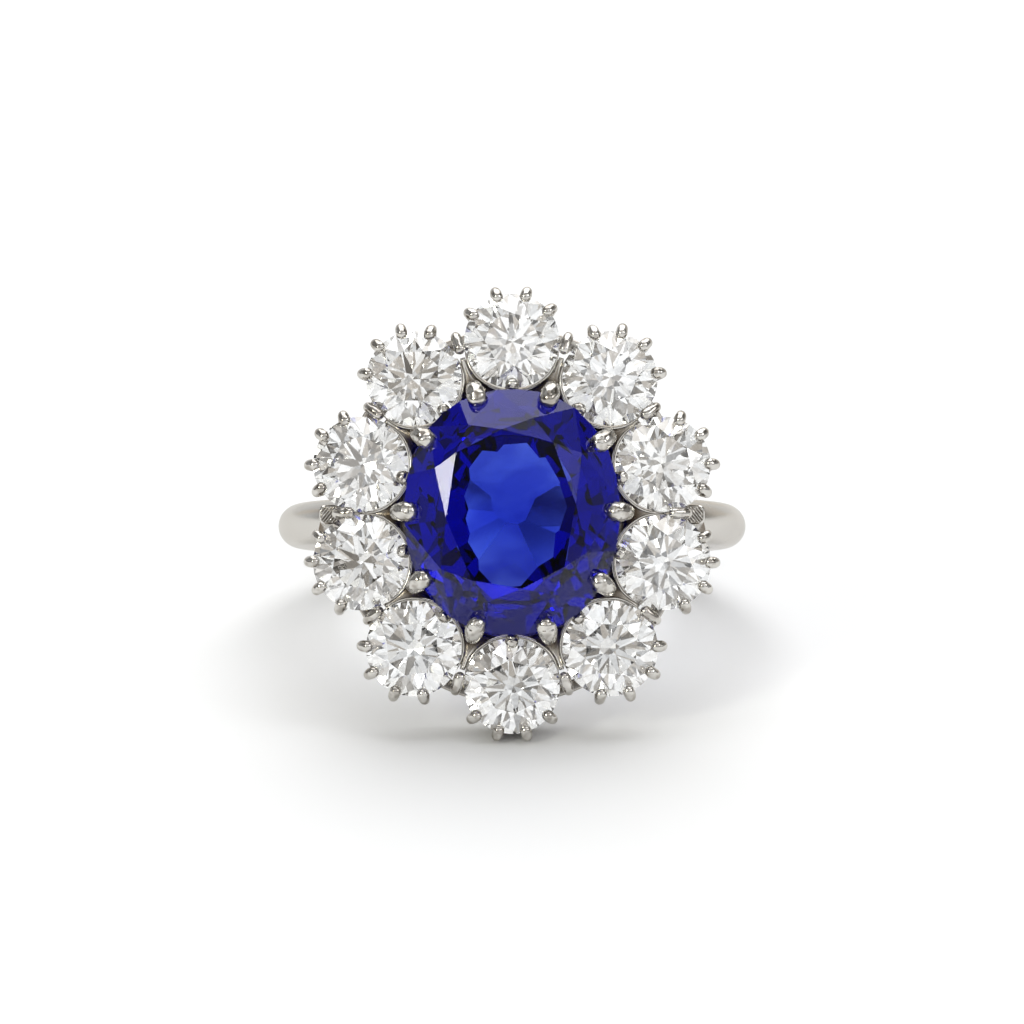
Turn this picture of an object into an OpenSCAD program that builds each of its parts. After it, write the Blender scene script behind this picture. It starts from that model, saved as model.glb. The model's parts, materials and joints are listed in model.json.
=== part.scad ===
// Sapphire and diamond cluster ring, lying on its side as it rests on a table.
// The ring is worked out upright about its finger hole: X across the hand, Y along the finger,
// Z up through the sapphire. The last section of this file lays it down.

/* [Finger hole and shank] */
// Inside diameter of the shank
finger_d = 17.3; // [16:0.1:19]
// Thickness of the shank from the finger to its crown
shank_wall = 1.6; // [1.3:0.1:2]
// Width of the shank along the finger
shank_w = 1.86; // [1.5:0.02:2.4]
// Easing of the two edges of the finger hole
bore_easing = 0.12; // [0.05:0.01:0.2]

/* [Shoulders] */
// Length across the hand of the file-cut top of a shoulder
lug_l = 0.86; // [0.7:0.02:1]
// Width of a shoulder's top along the finger
lug_w = 0.8; // [0.6:0.02:1]
// Height of a shoulder's top over the centre of the finger hole
lug_top = 11.3; // [10.8:0.1:11.8]
// Width of the foot of a shoulder, where it is soldered on the shank
lug_foot_w = 1.3; // [1:0.05:1.6]

/* [Sapphire] */
// Width of the sapphire across the hand
sapphire_w = 8.96; // [8.8:0.02:9.1]
// Length of the sapphire along the finger
sapphire_l = 10.2; // [10:0.05:10.3]
// How square the outline is, where 2 is an ellipse
sapphire_squareness = 2.2; // [2:0.05:2.4]
// Height of its girdle over the centre of the finger hole
sapphire_z = 13.6; // [13.5:0.05:14]
// Height of the crown over the girdle
sapphire_crown = 1.4; // [1.1:0.05:1.7]
// Depth of the pavilion under the girdle
sapphire_pavilion = 3.6; // [3.4:0.05:3.9]
// Table as a share of the outline
sapphire_table = 0.63; // [0.55:0.01:0.68]

/* [Diamonds] */
// Diameter of each round brilliant
diamond_d = 4; // [3.9:0.01:4]
// Height of the diamonds' girdles over the centre of the finger hole
diamond_z = 12.4; // [12.3:0.05:12.5]
// Outward lean of each diamond in degrees
diamond_lean = 5; // [3:0.5:7]
// Half the width of the oval through the diamonds' centres
oval_a = 6.58; // [6.58:0.01:6.7]
// Half the length of the oval through the diamonds' centres
oval_b = 7.2; // [7.2:0.01:7.3]

/* [Claws] */
// Diameter of the claw wires of the diamonds
claw_d = 0.5; // [0.44:0.01:0.52]
// Diameter of the claw wires of the sapphire
big_claw_d = 0.78; // [0.7:0.02:0.8]
// Clearance between a stone and its metal
seat_gap = 0.04; // [0.03:0.01:0.06]

/* [Hidden] */

DIAMONDS = 10;
STEP = 360 / DIAMONDS;
MAINS = 8;
RIM = 4 * MAINS;

// claws of each diamond as degrees from straight outwards, clockwise one by one, then the inner claw
OUTER_1 = 0;
OUTER_4 = 3;
INNER = 4;
claw_table = [
    // outer_1, outer_2, outer_3, outer_4, inner
    [57, 19, -17, -51, 180],
    [56, 22, -10, -48, 172],
    [52, 20, -18, -51, 180],
    [50, 18, -13, -46, 186],
    [57, 24, -13, -48, 190],
    [51, 17, -17, -51, 180],
    [48, 13, -24, -57, 172],
    [48, 14, -19, -50, 176],
    [50, 19, -19, -52, 180],
    [49, 12, -21, -56, 186]
];
// polar angles of the sapphire's claws, anticlockwise from the right
big_claw_angles = [0, 38, 72, 107, 140, 180, 217, 252.5, 286.5, 321.5];

// shank
finger_r = finger_d / 2;
shank_r = finger_r + shank_wall;
DOME_ARC = 80;
DOME_STEPS = 16;
dome_r = shank_w / 2 / sin(DOME_ARC);
dome_centre = shank_r - dome_r;
shank_profile = concat(
    [[finger_r + bore_easing, -shank_w / 2], [finger_r, bore_easing - shank_w / 2],
     [finger_r, shank_w / 2 - bore_easing], [finger_r + bore_easing, shank_w / 2]],
    [for (k = [0:DOME_STEPS])
        let (t = DOME_ARC * (1 - 2 * k / DOME_STEPS))
        [dome_centre + dome_r * cos(t), dome_r * sin(t)]]
);

// round brilliant, as shares of its diameter
diamond_r = diamond_d / 2;
diamond_table = 0.56 * diamond_r;
diamond_crown = 0.155 * diamond_d;
diamond_pavilion = 0.43 * diamond_d;
diamond_girdle = 0.015 * diamond_d;
STAR_SHARE = 0.45;
LOWER_SHARE = 0.77;

// sapphire
sapphire_girdle = 0.12;
// polar angles of the table's corners, and how much further out each lies than sapphire_table says
SAPPHIRE_MAINS = [6, 59, 97, 134, 187, 240, 277, 313];
TABLE_DRIFT = [-0.04, 0.02, 0.03, 0.045, -0.02, 0.03, 0.01, 0.015];
STAR_HEIGHT = 0.8;
// pavilion steps under the girdle
STEP_DEPTH = 0;
STEP_SCALE = 1;
pavilion_steps = [
    // depth as a share of the pavilion, outline as a share of the girdle
    [0.44, 0.68],
    [0.78, 0.33]
];

// diamonds' seats, in each diamond's own frame with the girdle at 0
collet_rim_r = diamond_r + 0.03;
collet_rim_z = -0.14;
collet_foot_r = 1.32;
collet_foot_z = -diamond_pavilion - 0.22;
collet_wall = 0.34;
claw_r = claw_d / 2;
claw_foot_r = 1.5;
claw_knee_r = diamond_r + 0.25;
claw_knee_z = 0.1;
claw_tip_r = diamond_r + 0.07;
claw_tip_z = 0.32;
inner_knee_r = diamond_r + 0.16;
inner_knee_z = 0;
inner_tip_r = diamond_r - 0.05;
inner_tip_z = 0.27;
CLAW_SIDES = 6;
TIP_DOME = [45];

// claws shared by two diamonds, measured outwards from the middle between them
shared_foot = 0.86;
shared_knee = 1.04;
shared_tip = 0.5;
shared_tip_z = 0.38;

// sapphire's coronet
big_claw_r = big_claw_d / 2;
big_foot = 0.08;
big_knee = 0.27;
big_tip = 0.05;
big_knee_z = sapphire_z + 0.2;
big_tip_z = sapphire_z + 0.4;
big_claw_reach = 2;
// slopes of the seat cut in a claw over and under the sapphire's girdle
seat_over = 1;
seat_under = 1.1;
coronet_z = 9.9;
coronet_h = 0.85;
coronet_wall = 0.7;
coronet_post_z = shank_r - 1.25;
coronet_a = sapphire_w / 2 + big_foot;
coronet_b = sapphire_l / 2 + big_foot;

// rail under the collets, an oval a little outside the diamonds' centres
rail_z = diamond_z + collet_foot_z - 0.25;
rail_h = 0.45;
rail_wall = 0.5;
rail_out_a = 0.6;
rail_out_b = 0.45;
RAIL_SIDES = 40;
// how far the foot of a wire stands over the underside of its rail
wire_set = 0.1;

// arms that carry the shoulders' tops, in from the crown of the shank and up from the finger's centre
shoulder_in = norm(valley(2)) + shared_knee - claw_r / 2;
arm_foot_x = shank_r - 0.9;
arm_foot_z = 3.4;
arm_root_x = shoulder_in - 0.5;
arm_root_z = 5;
arm_step = 0.05;
arm_head_z = 9.2;
arm_neck_z = 9.6;

// where the ring touches the table: the shank's back, and claws of the diamond at the oval's lower end
LOWEST_DIAMOND = 5;
touch_points = [for (n = [OUTER_1:OUTER_4]) for (p = outer_claw(LOWEST_DIAMOND, n))
    from_seat(LOWEST_DIAMOND, p)];
rest_tilt = max([for (p = touch_points) tilt_on(p)]);
rest_lift = dome_centre * sin(rest_tilt) + dome_r;
table_front = (sapphire_z + sapphire_girdle + sapphire_crown) * cos(rest_tilt)
    + sapphire_table * sapphire_l / 2 * sin(rest_tilt);
shank_back = dome_centre * cos(rest_tilt) + dome_r;
rest_shift = (table_front - shank_back) / 2;

$fn = 48;

// tilt of the stones at which a point and the shank's back both touch the table
function tilt_on(p) =
    let (rise = p[2] + dome_centre)
    asin(-dome_r / norm([p[1], rise])) + atan2(-p[1], rise);

// polar radius of an ellipse with half axes a and b
function ellipse_r(angle, a, b) = a * b / norm([b * cos(angle), a * sin(angle)]);

// polar angle and centre of diamond k, clockwise from the top of the oval
function diamond_angle(k) = 90 - STEP * k;
function diamond_centre(k) =
    let (angle = diamond_angle(k))
    ellipse_r(angle, oval_a, oval_b) * [cos(angle), sin(angle)];

// a point of a diamond's own frame, by its direction from straight outwards
function on_seat(angle, r, z) = [r * cos(angle), r * sin(angle), z];

// the same point in the ring's frame
function from_seat(k, p) =
    let (angle = diamond_angle(k))
    let (out = p[0] * cos(diamond_lean) + p[2] * sin(diamond_lean))
    let (up = p[2] * cos(diamond_lean) - p[0] * sin(diamond_lean))
    let (c = diamond_centre(k))
    [c[0] + out * cos(angle) - p[1] * sin(angle),
     c[1] + out * sin(angle) + p[1] * cos(angle),
     diamond_z + up];

// girdle outlines
function round_rim(angle) = diamond_r * [cos(angle), sin(angle)];
function cushion_r(angle) =
    pow(pow(abs(cos(angle)) / (sapphire_w / 2), sapphire_squareness)
        + pow(abs(sin(angle)) / (sapphire_l / 2), sapphire_squareness), -1 / sapphire_squareness);
function cushion_rim(angle) = cushion_r(angle) * [cos(angle), sin(angle)];
function rim(cushion, angle) = cushion ? cushion_rim(angle) : round_rim(angle);

// plane through three points, as [normal, offset], and its height over a point of the plan
function plane_through(a, b, c) =
    let (n = cross(b - a, c - a))
    [n, n * a];
function height_on(plane, xy) =
    (plane[1] - plane[0][0] * xy[0] - plane[0][1] * xy[1]) / plane[0][2];
// the point where two planes meet at a height
function meet(p, q, z) =
    let (u = p[1] - p[0][2] * z)
    let (v = q[1] - q[0][2] * z)
    let (det = p[0][0] * q[0][1] - p[0][1] * q[0][0])
    [(u * q[0][1] - v * p[0][1]) / det, (p[0][0] * v - q[0][0] * u) / det, z];

// the rim's polar angle at each of its 32 corners: mains, then halves, with a corner between
function rim_angle(mains, j) =
    let (i = floor(j / 4))
    let (a = mains[(i + MAINS) % MAINS] + 360 * floor(i / MAINS))
    let (b = mains[(i + 1) % MAINS] + 360 * floor((i + 1) / MAINS))
    a + (b - a) * (j - 4 * i) / 4;
function lift(xy, z) = [xy[0], xy[1], z];

// plane of each main facet: through its girdle tip, level along the girdle there, and its inner point
function main_plane(cushion, mains, i, rim_z, inner) =
    let (angle = mains[i % MAINS])
    let (tip = lift(rim(cushion, angle), rim_z))
    let (along = lift(rim(cushion, angle + 1) - rim(cushion, angle - 1), 0))
    plane_through(tip, tip + along, inner[i % MAINS]);

// star tips of a crown, or the tips of the lower halves of a pavilion
function tips(cushion, mains, rim_z, inner, z) =
    [for (i = [0:MAINS - 1])
        meet(main_plane(cushion, mains, i, rim_z, inner),
             main_plane(cushion, mains, i + 1, rim_z, inner), z)];

// rim of a crown or pavilion: corners between the halves lie on those facets, so the girdle is scalloped
function faceted_rim(cushion, mains, rim_z, tip) =
    [for (j = [0:RIM - 1])
        let (xy = rim(cushion, rim_angle(mains, j)))
        j % 2 == 0 ? lift(xy, rim_z)
        : let (plane = plane_through(lift(rim(cushion, rim_angle(mains, j - 1)), rim_z),
                                     lift(rim(cushion, rim_angle(mains, j + 1)), rim_z),
                                     tip[floor(j / 4)]))
          lift(xy, height_on(plane, xy))];

// rim of a step pavilion, whose facets run level along the girdle
function stepped_rim(mains, rim_z, depth, share) =
    [for (j = [0:RIM - 1])
        let (xy = cushion_rim(rim_angle(mains, j)))
        let (a = cushion_rim(rim_angle(mains, j - 1)))
        let (b = cushion_rim(rim_angle(mains, j + 1)))
        j % 2 == 0 ? lift(xy, rim_z)
        : lift(xy, height_on(plane_through(lift(a, rim_z), lift(b, rim_z),
                                           lift(a * share, -depth)), xy))];

// faces of a crown whose table, star tips and rim start at these places in the list of points
function crown_faces(table, star, edge) = concat(
    [[for (i = [MAINS - 1:-1:0]) table + i]],
    [for (i = [0:MAINS - 1]) [table + i, table + (i + 1) % MAINS, star + i]],
    [for (i = [0:MAINS - 1]) [table + i, star + i, edge + 4 * i, star + (i + MAINS - 1) % MAINS]],
    [for (i = [0:MAINS - 1]) [star + i, edge + 4 * i + 2, edge + 4 * i + 1, edge + 4 * i]],
    [for (i = [0:MAINS - 1])
        [star + i, edge + (4 * i + 4) % RIM, edge + 4 * i + 3, edge + 4 * i + 2]]
);
function girdle_faces(upper, lower) =
    [for (j = [0:RIM - 1]) let (n = (j + 1) % RIM) [upper + j, upper + n, lower + n, lower + j]];
function brilliant_pavilion_faces(culet, tip, edge) = concat(
    [for (i = [0:MAINS - 1]) [culet, tip + (i + MAINS - 1) % MAINS, edge + 4 * i, tip + i]],
    [for (i = [0:MAINS - 1]) [tip + i, edge + 4 * i, edge + 4 * i + 1, edge + 4 * i + 2]],
    [for (i = [0:MAINS - 1])
        [tip + i, edge + 4 * i + 2, edge + 4 * i + 3, edge + (4 * i + 4) % RIM]]
);
function step_pavilion_faces(edge, rings, culet) =
    let (sides = RIM / 2)
    let (last = len(rings) - 1)
    concat(
        [for (m = [0:sides - 1])
            [edge + 2 * m, edge + 2 * m + 1, edge + (2 * m + 2) % RIM,
             rings[0] + (m + 1) % sides, rings[0] + m]],
        [for (r = [0:1:last - 1]) for (m = [0:sides - 1])
            [rings[r] + m, rings[r] + (m + 1) % sides,
             rings[r + 1] + (m + 1) % sides, rings[r + 1] + m]],
        [for (m = [0:sides - 1]) [rings[last] + m, rings[last] + (m + 1) % sides, culet]]
    );

// round brilliant with its girdle at 0 and its table up
module brilliant() {
    mains = [for (i = [0:MAINS - 1]) 360 * i / MAINS];
    top = diamond_girdle + diamond_crown;
    table = [for (a = mains) lift(diamond_table * [cos(a), sin(a)], top)];
    star_z = diamond_girdle + diamond_crown * (1 - STAR_SHARE);
    star = tips(false, mains, diamond_girdle, table, star_z);
    upper = faceted_rim(false, mains, diamond_girdle, star);
    culet = [0, 0, -diamond_girdle - diamond_pavilion];
    lower_z = -diamond_girdle - diamond_pavilion * LOWER_SHARE;
    bottom = tips(false, mains, -diamond_girdle, [for (a = mains) culet], lower_z);
    lower = faceted_rim(false, mains, -diamond_girdle, bottom);
    polyhedron(
        points = concat(table, star, upper, lower, bottom, [culet]),
        faces = concat(crown_faces(0, MAINS, 2 * MAINS),
                       girdle_faces(2 * MAINS, 2 * MAINS + RIM),
                       brilliant_pavilion_faces(3 * MAINS + 2 * RIM, 2 * MAINS + 2 * RIM,
                                                2 * MAINS + RIM))
    );
}

// cushion with a brilliant crown and a step pavilion, girdle at 0 and table up
module cushion_cut() {
    mains = SAPPHIRE_MAINS;
    top = sapphire_girdle + sapphire_crown;
    table = [for (i = [0:MAINS - 1])
        lift((sapphire_table + TABLE_DRIFT[i]) * cushion_rim(mains[i]), top)];
    star_z = sapphire_girdle + sapphire_crown * STAR_HEIGHT;
    star = tips(true, mains, sapphire_girdle, table, star_z);
    upper = faceted_rim(true, mains, sapphire_girdle, star);
    first = pavilion_steps[0];
    lower = stepped_rim(mains, -sapphire_girdle, sapphire_girdle + first[STEP_DEPTH] * sapphire_pavilion,
                        first[STEP_SCALE]);
    rings = [for (row = pavilion_steps) for (m = [0:RIM / 2 - 1])
        lift(row[STEP_SCALE] * cushion_rim(rim_angle(mains, 2 * m)),
             -sapphire_girdle - row[STEP_DEPTH] * sapphire_pavilion)];
    culet = [0, 0, -sapphire_girdle - sapphire_pavilion];
    below = 2 * MAINS + 2 * RIM;
    polyhedron(
        points = concat(table, star, upper, lower, rings, [culet]),
        faces = concat(crown_faces(0, MAINS, 2 * MAINS),
                       girdle_faces(2 * MAINS, 2 * MAINS + RIM),
                       step_pavilion_faces(2 * MAINS + RIM,
                                           [for (r = [0:len(pavilion_steps) - 1]) below + r * RIM / 2],
                                           below + len(pavilion_steps) * RIM / 2))
    );
}

// puts something in the frame of diamond k
module seat(k) {
    c = diamond_centre(k);
    translate([c[0], c[1], diamond_z]) rotate([0, 0, diamond_angle(k)]) rotate([0, diamond_lean, 0])
        children();
}

// space that a diamond's setting leaves for it
module diamond_space() {
    top = diamond_girdle + diamond_crown + seat_gap;
    rotate_extrude()
        polygon([
            [0, -diamond_girdle - diamond_pavilion - 2 * seat_gap],
            [diamond_r + seat_gap, -diamond_girdle],
            [diamond_r + seat_gap, diamond_girdle],
            [diamond_table + seat_gap, top],
            [0, top]
        ]);
}

// rings of points round a claw: square at its foot, mitred at its knee and domed at its tip
function unit(v) = v / norm(v);
function claw_ring(centre, a, b, r) =
    [for (s = [0:CLAW_SIDES - 1])
        let (t = s * 360 / CLAW_SIDES)
        centre + r * (cos(t) * a + sin(t) * b)];
function claw_points(foot, knee, tip, r) =
    let (up = unit(knee - foot))
    let (lean = unit(tip - knee))
    let (side = unit(cross(up, lean)))
    let (a = cross(side, up))
    let (b = cross(side, lean))
    concat(
        claw_ring(foot, a, side, r),
        claw_ring(knee, (a + b) / (1 + a * b), side, r),
        claw_ring(tip, b, side, r),
        [for (t = TIP_DOME) each claw_ring(tip + r * sin(t) * lean, b, side, r * cos(t))],
        [tip + r * lean]
    );

// claw wire worked out by the function above
module claw(points) {
    last = len(points) - 1;
    polyhedron(
        points = points,
        faces = concat(
            [[for (s = [0:CLAW_SIDES - 1]) s]],
            [for (ring = [0:CLAW_SIDES:last - 2 * CLAW_SIDES]) for (s = [0:CLAW_SIDES - 1])
                let (n = (s + 1) % CLAW_SIDES)
                [ring + s, ring + CLAW_SIDES + s, ring + CLAW_SIDES + n, ring + n]],
            [for (s = [0:CLAW_SIDES - 1])
                [last - CLAW_SIDES + s, last, last - CLAW_SIDES + (s + 1) % CLAW_SIDES]]
        )
    );
}

// claws of diamond k in its own frame
function outer_claw(k, n) =
    let (a = claw_table[k][n])
    claw_points(on_seat(a, claw_foot_r, collet_foot_z), on_seat(a, claw_knee_r, claw_knee_z),
                on_seat(a, claw_tip_r, claw_tip_z), claw_r);
function inner_claw(k) =
    let (a = claw_table[k][INNER])
    claw_points(on_seat(a, claw_foot_r, collet_foot_z), on_seat(a, inner_knee_r, inner_knee_z),
                on_seat(a, inner_tip_r, inner_tip_z), claw_r);

// tapering collet under one diamond, with its outer and inner claws
module diamond_setting(k) {
    seat(k)
        difference() {
            union() {
                rotate_extrude()
                    polygon([
                        [collet_foot_r - collet_wall, collet_foot_z],
                        [collet_foot_r, collet_foot_z],
                        [collet_rim_r, collet_rim_z],
                        [collet_rim_r - collet_wall, collet_rim_z]
                    ]);
                for (n = [OUTER_1:OUTER_4]) claw(outer_claw(k, n));
                claw(inner_claw(k));
            }
            diamond_space();
        }
}

// middle between diamond k and the next, and the way outwards from it
function valley(k) = (diamond_centre(k) + diamond_centre((k + 1) % DIAMONDS)) / 2;
function outward(k) = valley(k) / norm(valley(k));
function in_valley(k, out, z) = lift(valley(k) + out * outward(k), z);

// claw that holds two neighbouring diamonds from the valley outside them
module shared_claw(k) {
    difference() {
        claw(claw_points(in_valley(k, shared_foot, rail_z + wire_set),
                         in_valley(k, shared_knee, diamond_z + claw_knee_z),
                         in_valley(k, shared_tip, diamond_z + shared_tip_z), claw_r));
        seat(k) diamond_space();
        seat((k + 1) % DIAMONDS) diamond_space();
    }
}

// space that the sapphire takes from a claw at a polar angle, cut square to the girdle there
module sapphire_seat(angle) {
    along = cushion_rim(angle + 1) - cushion_rim(angle - 1);
    half_girdle = sapphire_girdle + seat_gap;
    translate(lift(cushion_rim(angle), sapphire_z))
        rotate([90, 0, atan2(-along[0], along[1])])
            linear_extrude(height = big_claw_reach, center = true)
                polygon([
                    [seat_gap, -half_girdle],
                    [seat_gap, half_girdle],
                    [-big_claw_reach, half_girdle + seat_over * big_claw_reach],
                    [-big_claw_reach, -half_girdle - seat_under * big_claw_reach]
                ]);
}

// claw of the sapphire's coronet at a polar angle
function at_sapphire(angle, out, z) = lift((cushion_r(angle) + out) * [cos(angle), sin(angle)], z);
module big_claw(angle) {
    over_shank = angle % 180 == 0;
    difference() {
        claw(claw_points(at_sapphire(angle, big_foot, over_shank ? coronet_post_z : coronet_z + wire_set),
                         at_sapphire(angle, big_knee, big_knee_z),
                         at_sapphire(angle, big_tip, big_tip_z), big_claw_r));
        sapphire_seat(angle);
    }
}

// flat wire bent into an oval on edge
function oval(a, b) =
    [for (k = [0:RAIL_SIDES - 1])
        let (t = k * 360 / RAIL_SIDES)
        ellipse_r(t, a, b) * [cos(t), sin(t)]];
module oval_ring(a, b, wall, z, h) {
    translate([0, 0, z])
        linear_extrude(height = h)
            difference() {
                polygon(oval(a + wall / 2, b + wall / 2));
                polygon(oval(a - wall / 2, b - wall / 2));
            }
}

// rail under the diamonds' collets, and the coronet's own rail under the sapphire
module gallery() {
    oval_ring(oval_a + rail_out_a, oval_b + rail_out_b, rail_wall, rail_z, rail_h);
    oval_ring(coronet_a, coronet_b, coronet_wall, coronet_z, coronet_h);
}

// upright post on the shank that carries the head at one side, with a file-cut top
module shoulder() {
    difference() {
        union() {
            translate([shoulder_in, -lug_w / 2, arm_head_z]) cube([lug_l, lug_w, lug_top - arm_head_z]);
            rotate([90, 0, 0])
                linear_extrude(height = lug_foot_w, center = true)
                    polygon([
                        [arm_root_x, arm_root_z],
                        [arm_foot_x, arm_foot_z],
                        [shoulder_in + lug_l - arm_step, arm_head_z],
                        [shoulder_in + arm_step, arm_neck_z]
                    ]);
        }
        rotate([90, 0, 0]) cylinder(h = 2 * shank_w, r = finger_r + shank_wall / 2, center = true);
    }
}

// half-round band, open within the coronet so that light reaches the sapphire from behind
module shank() {
    difference() {
        rotate([90, 0, 0]) rotate_extrude($fn = 96) polygon(shank_profile);
        linear_extrude(height = 2 * shank_r) polygon(oval(coronet_a - coronet_wall / 2,
                                                          coronet_b - coronet_wall / 2));
    }
}

// shank, shoulders, gallery, collets and claws, soldered into one piece
module ring_mount() {
    color("gainsboro")
        laid_down()
            union() {
                shank();
                shoulder();
                mirror([1, 0, 0]) shoulder();
                gallery();
                for (k = [0:DIAMONDS - 1]) {
                    diamond_setting(k);
                    shared_claw(k);
                    big_claw(big_claw_angles[k]);
                }
            }
}

module sapphire() {
    color("mediumblue") laid_down() translate([0, 0, sapphire_z]) cushion_cut();
}

module diamond(k) {
    color("aliceblue") laid_down() seat(k) brilliant();
}

// lays the ring down on the back of its shank and two claws of its lowest diamond
module laid_down() {
    translate([0, rest_shift, rest_lift]) rotate([90 - rest_tilt, 0, 0]) children();
}

ring_mount();
sapphire();
diamond(0);  // diamond_01
diamond(1);  // diamond_02
diamond(2);  // diamond_03
diamond(3);  // diamond_04
diamond(4);  // diamond_05
diamond(5);  // diamond_06
diamond(6);  // diamond_07
diamond(7);  // diamond_08
diamond(8);  // diamond_09
diamond(9);  // diamond_10
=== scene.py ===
"""Sapphire and diamond cluster ring: the finish of its metal and its stones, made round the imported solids.

Shapes are worked out in the ring's own frame, with X across the hand, Y along the finger and Z through the
sapphire, and are then laid in the frame of the solids by the place and axis of the finger hole.
"""
import json
import math

import bmesh
import bpy
import numpy as np
from bpy.props import FloatProperty, FloatVectorProperty, PointerProperty
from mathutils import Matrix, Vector


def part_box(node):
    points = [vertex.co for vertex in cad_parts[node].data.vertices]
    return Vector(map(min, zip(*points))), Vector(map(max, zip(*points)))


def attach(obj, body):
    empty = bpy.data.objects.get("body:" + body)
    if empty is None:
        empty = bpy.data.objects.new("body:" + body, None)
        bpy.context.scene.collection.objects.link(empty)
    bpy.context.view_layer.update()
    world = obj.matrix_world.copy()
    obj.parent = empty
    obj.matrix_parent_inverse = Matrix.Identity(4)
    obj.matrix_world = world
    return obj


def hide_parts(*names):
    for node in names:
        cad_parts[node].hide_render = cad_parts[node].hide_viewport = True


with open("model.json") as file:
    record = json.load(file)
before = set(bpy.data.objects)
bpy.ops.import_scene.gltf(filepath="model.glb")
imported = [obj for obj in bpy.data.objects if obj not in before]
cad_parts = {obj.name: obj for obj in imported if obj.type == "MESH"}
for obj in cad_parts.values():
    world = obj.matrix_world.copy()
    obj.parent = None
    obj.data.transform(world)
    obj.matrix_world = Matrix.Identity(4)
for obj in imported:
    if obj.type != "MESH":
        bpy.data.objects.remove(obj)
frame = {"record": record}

bl_info = {
    "name": "Sapphire and diamond ring",
    "version": (1, 0, 0),
    "blender": (4, 5, 0),
    "location": "3D View > Sidebar > Ring",
    "description": "Makes the metal, the stones and the stage of a sapphire and diamond cluster ring",
    "category": "Add Mesh",
}

MM = 0.001
UP = np.array([0.0, 0.0, 1.0])
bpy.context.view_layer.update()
DIAMONDS = 10
DIAMOND_NODES = [f"diamond_{k + 1:02d}" for k in range(DIAMONDS)]

# The finger hole's centre and axis set the ring's own frame.
HOLE = frame["record"]["mounts"][0]
HOLE_CENTRE = np.array(HOLE["pos_m"])
HOLE_RADIUS = HOLE["dims"]["r_mm"] * MM
ALONG_FINGER = np.array(HOLE["axis"])
ACROSS_HAND = np.array([1.0, 0.0, 0.0])
TO_STONES = np.cross(ACROSS_HAND, ALONG_FINGER)
RING_AXES = np.stack([ACROSS_HAND, ALONG_FINGER, TO_STONES])

# Claws of each diamond, in degrees from straight outwards: four outer ones, then the inner one.
CLAW_ANGLES = np.array([
    (57, 19, -17, -51, 180),
    (56, 22, -10, -48, 172),
    (52, 20, -18, -51, 180),
    (50, 18, -13, -46, 186),
    (57, 24, -13, -48, 190),
    (51, 17, -17, -51, 180),
    (48, 13, -24, -57, 172),
    (48, 14, -19, -50, 176),
    (50, 19, -19, -52, 180),
    (49, 12, -21, -56, 186),
])
# Column of the inner claw.
INNER_CLAW = 4
# Polar angles of the sapphire's claws.
BIG_CLAW_ANGLES = np.array([0, 38, 72, 107, 140, 180, 217, 252.5, 286.5, 321.5])
# Polar angles of the corners of the sapphire's table.
SAPPHIRE_MAINS = np.array([6.0, 59, 97, 134, 187, 240, 277, 313])
# How far out each corner lies, as a share of the outline.
TABLE_SHARES = np.array([0.59, 0.65, 0.66, 0.675, 0.61, 0.66, 0.64, 0.645])
# The sapphire's lowest facets: azimuth and slope in degrees, and how far above the pavilion's full depth each
# plane crosses the stone's axis, in millimetres.
PAVILION_CUTS = (
    (84, 17, 0.36), (122, 27, 0.0), (84, 28, -0.05), (44, 27, 0.0), (8, 28, 0.02), (-45, 26, 0.0),
    (-97, 28, 0.02), (-133, 25, 0.03), (-170, 25, 0.0), (152, 26, 0.0),
)
# How far each diamond is turned in its collet, in degrees.
DIAMOND_TURNS = (4, -9, 17, 12, -16, 7, 20, -4, 11, -14)


def width_of(node):
    """Width of a node's box along X, which no tilt of the ring changes."""
    low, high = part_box(node)
    return high[0] - low[0]


SAPPHIRE_WIDTH = width_of("sapphire")
DIAMOND_WIDTH = width_of(DIAMOND_NODES[0])


def size(name, description, millimetres):
    """A length of the ring, given in millimetres and kept in metres."""
    return FloatProperty(name=name, description=description, default=millimetres * MM, min=0, precision=5,
                         unit="LENGTH")


def colour(name, description, default):
    """A colour of one of the finishes."""
    return FloatVectorProperty(name=name, description=description, default=default, min=0, max=1, size=3,
                               subtype="COLOR")


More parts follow.
